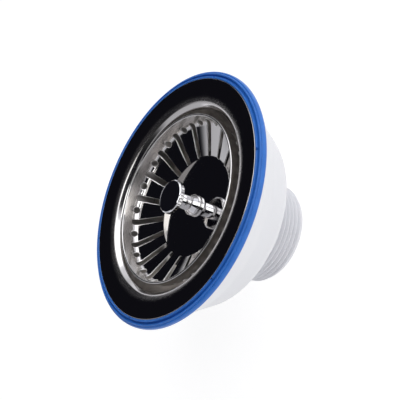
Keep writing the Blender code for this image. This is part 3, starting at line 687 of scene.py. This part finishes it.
def basket_finish():
    """Satin on the wall, mirror on the rim, knee, dish and floor."""
    steel = new_finish("basket_steel", Metallic=1.0)
    where = place(steel)
    height = node(steel, "ShaderNodeSeparateXYZ", {0: where}).outputs["Z"]
    rings = circles(steel, where, 8.0, 2.5)
    above_knee = between(steel, height, *KNEE_END, 0.0, 1.0)
    below_rim = between(steel, height, *RIM_START, 1.0, 0.0)
    wall = calculated(steel, "MULTIPLY", above_knee, below_rim)
    satin = between(steel, rings, *NOISE_RANGE, 0.24, 0.27)
    haze = between(steel, noise(steel, where, 0.15), *NOISE_RANGE, 0.035, 0.06)
    difference = calculated(steel, "SUBTRACT", satin, haze)
    to_shader(steel, "Roughness", calculated(steel, "MULTIPLY_ADD", difference, wall, haze))
    to_shader(steel, "Base Color", mixed_colour(steel, wall, STEEL_COLOUR, STEEL_WARM))
    add_bump(steel, calculated(steel, "MULTIPLY", rings, wall), WHEEL_MARKS)
    return steel


def sheared_finish():
    """The bright, slightly rough edge that a punch leaves."""
    edge = new_finish("sheared_edge", Metallic=1.0)
    where = place(edge)
    grain = noise(edge, where, 6.0)
    to_shader(edge, "Roughness", between(edge, grain, *NOISE_RANGE, 0.48, 0.60))
    to_shader(edge, "Base Color", mixed_colour(edge, grain, (0.97, 0.96, 0.95), (0.88, 0.87, 0.86)))
    return edge


basket_steel, sheared_edge = basket_finish(), sheared_finish()
print("basket steel and its sheared edge ready")

# %% Basket sheet
BASKET_STEPS = 240
BASKET_SHEET = 0.6
SCREW_HOLE = 2.05
WALL_RADIUS = 39.3
FLOOR_RADIUS, FLOOR_EDGE, FLOOR_CROWN = 24.0, 46.2, 0.4
FLOOR_RINGS = (0.84, 0.72, 0.60, 0.48, 0.36, 0.24, 0.16)
basket_corners = [
    (40.5, 57.5, 0),
    (40.5, 59.0, 0.55),
    (WALL_RADIUS, 59.0, 0.55),
    (WALL_RADIUS, 57.6, 0),
    (WALL_RADIUS, 56.4, 0),
    (WALL_RADIUS, 55.4, 0),
    (WALL_RADIUS, 51.8, 3.0),
    (FLOOR_RADIUS, FLOOR_EDGE, 2.0),
]
for share in FLOOR_RINGS:
    basket_corners.append((FLOOR_RADIUS * share, FLOOR_EDGE + FLOOR_CROWN * (1 - share**2), 0))
basket_corners.append((SCREW_HOLE, FLOOR_EDGE + FLOOR_CROWN, 0))
basket = turned("steel_basket", rounded(basket_corners, 7), BASKET_STEPS)
thickened(basket, BASKET_SHEET * MM)
basket.data.materials.append(basket_steel)
print("basket sheet:", len(basket.data.polygons), "faces")

# %% Slots and knee holes
SLOTS = 20
SLOT_HALF, SLOT_ROUNDING = 1.3, 1.28
KNEE_HOLE_RADIUS, KNEE_HOLE_DEPTH = 1.5, 5
KNEE_MIDDLE = (38.57, 0, 52.53)
EDGE_ROUNDING = 0.27


def slot_cutter():
    """A bar along a slot. Its inner end is round from above, its outer end round from the axis."""
    cutter = bar("slot", (24.0, -SLOT_HALF, 43.0), (43.0, SLOT_HALF, 53.7))

    def to_round(edge):
        first, second = ends(cutter, edge)
        inner = max(first.x, second.x) < 30 * MM and abs(first.z - second.z) > MM
        upper = min(first.z, second.z) > 50 * MM and abs(first.x - second.x) > MM
        return inner or upper

    print("edges to round:", pick(cutter, "EDGE", to_round))
    bpy.ops.mesh.bevel(offset=SLOT_ROUNDING * MM, segments=8)
    bpy.ops.object.mode_set(mode="OBJECT")
    cutter.data.materials.append(sheared_edge)
    return cutter


def knee_hole_cutter():
    """A drill that stands square on the knee."""
    bpy.ops.object.select_all(action="DESELECT")
    bpy.ops.mesh.primitive_cylinder_add(
        vertices=32,
        radius=KNEE_HOLE_RADIUS * MM,
        depth=KNEE_HOLE_DEPTH * MM,
        location=Vector(KNEE_MIDDLE) * MM,
        rotation=(0, -math.pi / 4, 0),
    )
    drill = bpy.context.object
    drill.data.materials.append(sheared_edge)
    return drill


combined(basket, repeated(slot_cutter(), SLOTS, math.pi / SLOTS), "DIFFERENCE")
combined(basket, repeated(knee_hole_cutter(), SLOTS), "DIFFERENCE")
print(f"basket with openings: {len(basket.data.polygons)} faces, {open_edges(basket)} open edges")

# %% Round the punched edges
edge_finishes = {}
for face in basket.data.polygons:
    for key in face.edge_keys:
        edge_finishes.setdefault(key, set()).add(face.material_index)


def punched(edge):
    """True for an edge between the sheet and the wall of an opening."""
    return edge_finishes.get(edge.key) == {0, 1}


print("punched edges:", pick(basket, "EDGE", punched))
bpy.ops.mesh.bevel(offset=EDGE_ROUNDING * MM, segments=2, material=1)
bpy.ops.object.mode_set(mode="OBJECT")
print(f"basket with round edges: {len(basket.data.polygons)} faces, {open_edges(basket)} open edges")

# %% Settle the basket
basket_finishes = (basket_steel, sheared_edge)
settled(basket, "basket", "strainer_basket", "basket_steel", *basket_finishes, smooth=32, even=True)

# %% [markdown]
# ## Knob and post
# Both are turned from brass and chromed. The knob's edge is knurled so that wet fingers can hold
# it. A bump map would fake the knurls but leave a smooth outline, so the rim has five rows of
# points, and every second point is pressed in like the teeth of a knurling wheel. The post is a
# slim neck on a flared foot, turned from its section.

# %% Finish of the chrome
def chrome_finish(name, colour, roughness):
    """Plated and polished metal, with a breath of haze."""
    chrome = new_finish(name, Metallic=1.0)
    where = place(chrome)
    haze = noise(chrome, where, 0.6)
    shade = tuple(0.95 * part for part in colour)
    to_shader(chrome, "Roughness", between(chrome, haze, *NOISE_RANGE, roughness, roughness + 0.03))
    to_shader(chrome, "Base Color", mixed_colour(chrome, haze, colour, shade))
    return chrome


knob_chrome = chrome_finish("knob_chrome", (0.82, 0.82, 0.84), 0.03)
print("chrome ready")

# %% Knob
KNURLS = 72
KNOB_RADIUS = 8.0
PRESSED_IN = 0.972
knurl_rows = (58.8, 59.2, 59.6, 60.0, 60.3)
knob_corners = [(0, 58.1, 0), (2.4, 58.1, 0), (7.1, 58.1, 0.3), (7.7, 58.55, 0)]
knob_corners += [(KNOB_RADIUS, height, 0) for height in knurl_rows]
knob_corners += [(7.9, 60.5, 0), (7.75, 60.8, 0), (7.4, 61.08, 0), (7.0, 61.17, 0)]
knob_corners += [(6.6, 61.2, 0), (0, 61.2, 0)]
knob = turned("chromed_knob", rounded(knob_corners, 3), 2 * KNURLS)


def in_groove(vertex):
    """True for every second point of the knurled rows, in a chequered order."""
    row = min(range(len(knurl_rows)), key=lambda k: abs(vertex.co.z / MM - knurl_rows[k]))
    on_rim = vertex.co.xy.length > (KNOB_RADIUS - 0.1) * MM
    near = on_rim and abs(vertex.co.z / MM - knurl_rows[row]) < 0.01
    column = round(math.atan2(vertex.co.y, vertex.co.x) * KNURLS / math.pi)
    return near and (column + row) % 2 == 1


print("knurl points to press in:", pick(knob, "VERT", in_groove))
bpy.ops.transform.resize(value=(PRESSED_IN, PRESSED_IN, 1), center_override=FLANGE_MIDDLE)
bpy.ops.object.mode_set(mode="OBJECT")
settled(knob, "basket", "knob", "knob_chrome", knob_chrome, smooth=24)

# %% Post
post_corners = [
    (0, 46.62, 0),
    (4.6, 46.62, 0.3),
    (5.0, 47.2, 0.3),
    (5.0, 48.3, 0.6),
    (3.5, 50.6, 2.0),
    (3.4, 54.0, 4.0),
    (3.5, 58.1, 0),
    (0, 58.1, 0),
]
post = turned("chromed_post", rounded(post_corners, 6), SMALL_STEPS)
settled(post, "basket", "knob_post", "knob_chrome", knob_chrome)

# %% [markdown]
# ## Under the basket
# A steel plate and a rubber disc hang under the basket on a brass stem, and close the drain when
# the basket is pushed down. A screw runs up the stem into the post. The stem slides in a hollow
# bolt, gripped by a nylon ring. They are turned like the rest, with the small chamfers that a lathe
# leaves, and the bolt gets its screwdriver slot. Brass is a warm metal with a fine lathe grain.

# %% Finishes of brass, plate and nylon
def lathe_finish(name, colour, shade, roughness):
    """Turned metal: tight circles in roughness and height, and slight staining."""
    metal = new_finish(name, Metallic=1.0)
    where = place(metal)
    rings = circles(metal, where, 7.0, 1.5)
    stain = between(metal, noise(metal, where, 0.35), *NOISE_RANGE, 0.0, 1.0)
    to_shader(metal, "Base Color", mixed_colour(metal, stain, colour, shade))
    rough = between(metal, rings, *NOISE_RANGE, roughness - 0.05, roughness + 0.08)
    to_shader(metal, "Roughness", rough)
    add_bump(metal, rings, 0.005)
    return metal


brass = lathe_finish("turned_brass", (0.74, 0.54, 0.25), (0.62, 0.43, 0.18), 0.26)
plate_steel = lathe_finish("plate_steel", (0.60, 0.59, 0.58), (0.52, 0.51, 0.50), 0.28)
nylon = rubber_finish("nylon", (0.80, 0.79, 0.74), (0.75, 0.74, 0.69), 0.42, 2.0)
print("brass, plate steel and nylon ready")

# %% Bolt, washer and nut
bolt_corners = [
    (4.2, 15.0, 0),
    (5.7, 15.0, 0),
    (6.2, 15.6, 0),
    (6.2, 30.5, 0),
    (10.0, 30.5, 0.3),
    (10.0, 32.8, 0.7),
    (4.7, 32.8, 0),
    (4.2, 32.3, 0),
]
bolt = turned("hollow_bolt", rounded(bolt_corners), SMALL_STEPS, closed=True)
combined(bolt, bar("bolt_slot", (-12, -1.1, 31.6), (12, 1.1, 35)), "DIFFERENCE")
settled(bolt, "drain", "fixing_bolt", "brass", brass)

washer_corners = [(6.5, 29.0, 0), (10.0, 29.0, 0.3), (10.0, 30.2, 0.3), (6.5, 30.2, 0)]
washer = turned("rubber_washer", rounded(washer_corners), SMALL_STEPS, closed=True)
settled(washer, "drain", "bolt_washer", "gasket_rubber", black_rubber)

nut = hexagon("brass_nut", NUT_HALF_FLATS, 15.0, 23.0)
chamfer_corners = [(0, 15), (8.7, 15), (10.2, 15.9), (10.2, 22.1), (8.7, 23), (0, 23)]
combined(nut, turned("nut_chamfer", sharp(chamfer_corners), SMALL_STEPS), "INTERSECT")
nut_bore = turned("nut_bore", sharp([(0, 13), (6.5, 13), (6.5, 25), (0, 25)]), BORE_STEPS)
combined(nut, nut_bore, "DIFFERENCE")
settled(nut, "drain", "captive_nut", "brass", brass)

# %% Plate, stopper and stem
PLATE_STEPS, STOPPER_STEPS = 144, 180
plate_corners = [(SCREW_HOLE, 44.9, 0), (22.0, 44.9, 0.2), (22.0, 45.7, 0.2), (SCREW_HOLE, 45.7, 0)]
plate = turned("backing_plate", rounded(plate_corners), PLATE_STEPS, closed=True)
settled(plate, "basket", "stopper_plate", "plate_steel", plate_steel)

stopper_corners = [
    (SCREW_HOLE, 42.2, 0),
    (23.6, 42.2, 1.0),
    (28.3, 39.6, 0.2),
    (29.5, 39.6, 0.5),
    (29.5, 40.8, 0.6),
    (25.0, 44.6, 1.5),
    (SCREW_HOLE, 44.6, 0),
]
stopper = turned("rubber_stopper", rounded(stopper_corners), STOPPER_STEPS, closed=True)
settled(stopper, "basket", "stopper_seal", "stopper_rubber", black_rubber)

stem_corners = [
    (SCREW_HOLE, 41.9, 0),
    (SCREW_HOLE, 20.5, 0),
    (3.2, 20.5, 0),
    (3.2, 16.5, 0),
    (3.5, 16.5, 0),
    (3.8, 16.9, 0),
    (3.8, 22.4, 0.1),
    (2.8, 22.4, 0),
    (2.8, 24.6, 0),
    (3.8, 24.6, 0.1),
    (3.8, 40.3, 0.4),
    (6.0, 40.3, 0.3),
    (6.0, 41.9, 0.3),
]
stem = turned("brass_stem", rounded(stem_corners), SMALL_STEPS, closed=True)
settled(stem, "basket", "stem", "brass", brass)

# %% Screw and ring
screw_corners = [
    (0, 17.7, 0),
    (2.5, 17.7, 0.4),
    (2.9, 18.4, 0.3),
    (2.9, 20.2, 0),
    (1.75, 20.2, 0),
    (1.75, 52.9, 0),
    (1.4, 53.4, 0),
    (0, 53.4, 0),
]
screw = turned("steel_screw", rounded(screw_corners), SMALL_STEPS // 2)
settled(screw, "basket", "stem_screw", "plate_steel", plate_steel)

ring_corners = [(3.13, 22.7, 0), (3.9, 22.7, 0.2), (3.9, 24.3, 0.2), (3.13, 24.3, 0)]
ring = turned("nylon_ring", rounded(ring_corners), BORE_STEPS, closed=True)
settled(ring, "catch", "stem_ring", "nylon", nylon)

# %% [markdown]
# ## Floor, light and surroundings
# The object stands on a white table that has no visible edge. A mirror shows whatever stands round
# it. A photograph of a room would light the drain too, but its windows would show in the steel. So
# the surroundings are designed as a studio designs them for cutlery: black flags before and behind
# the drain, a white wall on the right, a grey one on the left and a bright horizon. Soft lights
# hang overhead and beside the flange, and a third in front lights the plastic. The table glows as
# well, which keeps the drain's shadow faint.

# %% Floor
TABLE_SIDE, TABLE_DROP = 8, 0.2 * MM
paper = new_finish(
    "white_table",
    Base_Color=(0.30, 0.30, 0.30, 1),
    Roughness=0.9,
    Emission_Color=(1, 1, 1, 1),
    Emission_Strength=0.82,
)
bpy.ops.object.select_all(action="DESELECT")
bpy.ops.mesh.primitive_plane_add(size=TABLE_SIDE, location=(0, 0, -TABLE_DROP))
floor = bpy.context.object
floor.name = "table"
floor.data.materials.append(paper)
print("table", TABLE_SIDE, "m wide")


# %% Lights
def soft_light(name, direction, distance, side, brightness):
    """A square soft light that faces the flange. Its brightness is what a mirror shows of it."""
    data = bpy.data.lights.new(name, "AREA")
    data.shape = "SQUARE"
    data.size = side
    data.energy = brightness * math.pi * side**2
    light = bpy.data.objects.new(name, data)
    bpy.context.scene.collection.objects.link(light)
    light.location = FLANGE_MIDDLE + Vector(direction).normalized() * distance
    light.rotation_euler = Vector(direction).to_track_quat("Z", "Y").to_euler()


soft_light("overhead", (0.0, -0.16, 1.0), 1.2, 0.62, 1.6)
soft_light("beside", (0.66, 0.04, 0.78), 1.2, 0.9, 1.35)
soft_light("in_front", (0.55, -1.0, 0.80), 1.3, 0.75, 2.4)
print("three soft lights")

# %% Surroundings
# Each pair is where a soft edge starts and ends: on a direction's Z, or on how far it points aside.
FLAG_SIDES, FLAG_FOOT, FLAG_HEAD = (0.62, 0.85), (0.19, 0.29), (0.965, 0.985)
LIFTED_SIDES, LIFT = (-0.42, -0.18), 0.36
LEFT_TOP, LEFT_GREY, LEFT_DARK = (0.58, 0.72), 0.55, 0.02
WALL_SIDES, RIGHT_WHITE = (-0.6, 0.6), 0.9
HORIZON_TOP, HORIZON_SIDES, HORIZON_RIGHT = (0.10, 0.30), (0.45, 0.9), 0.72
FLAG_COLOUR = (0.006, 0.006, 0.009)
COOLER = 1.06


def surroundings():
    """The studio as a mirror shows it: black flags, a grey and a white wall, and a bright horizon.

    The camera itself sees plain white behind the table.
    """
    world = bpy.data.worlds.new("studio")
    world.use_nodes = True
    bpy.context.scene.world = world
    direction = node(world, "ShaderNodeTexCoord").outputs["Generated"]
    parts = node(world, "ShaderNodeSeparateXYZ", {0: direction}).outputs
    aside = calculated(world, "DIVIDE", parts["X"], off_axis(world, direction))
    width = between(world, calculated(world, "ABSOLUTE", aside), *FLAG_SIDES, 1.0, 0.0)
    lift = between(world, aside, *LIFTED_SIDES, LIFT, 0.0)
    foot = between(world, calculated(world, "SUBTRACT", parts["Z"], lift), *FLAG_FOOT, 0.0, 1.0)
    head = between(world, parts["Z"], *FLAG_HEAD, 1.0, 0.0)
    flag = calculated(world, "MULTIPLY", calculated(world, "MULTIPLY", width, foot), head)
    left = between(world, parts["Z"], *LEFT_TOP, LEFT_GREY, LEFT_DARK)
    share = between(world, aside, *WALL_SIDES, 0.0, 1.0)
    walls = node(world, "ShaderNodeMix", {"Factor": share, 2: left, 3: RIGHT_WHITE}, data_type="FLOAT")
    horizon = between(world, aside, *HORIZON_SIDES, 1.0, HORIZON_RIGHT)
    low = between(world, parts["Z"], *HORIZON_TOP, horizon, 0.0)
    white = calculated(world, "MAXIMUM", walls.outputs[0], low)
    blue = calculated(world, "MULTIPLY", white, COOLER)
    lit = node(world, "ShaderNodeCombineColor", {0: white, 1: white, 2: blue}).outputs[0]
    mirrored = mixed_colour(world, flag, lit, FLAG_COLOUR)
    seen = node(world, "ShaderNodeLightPath").outputs["Is Camera Ray"]
    background = world.node_tree.nodes["Background"]
    world.node_tree.links.new(mixed_colour(world, seen, mirrored, (1, 1, 1)), background.inputs["Color"])


surroundings()
bpy.context.scene.view_settings.view_transform = "Standard"
print("surroundings ready")
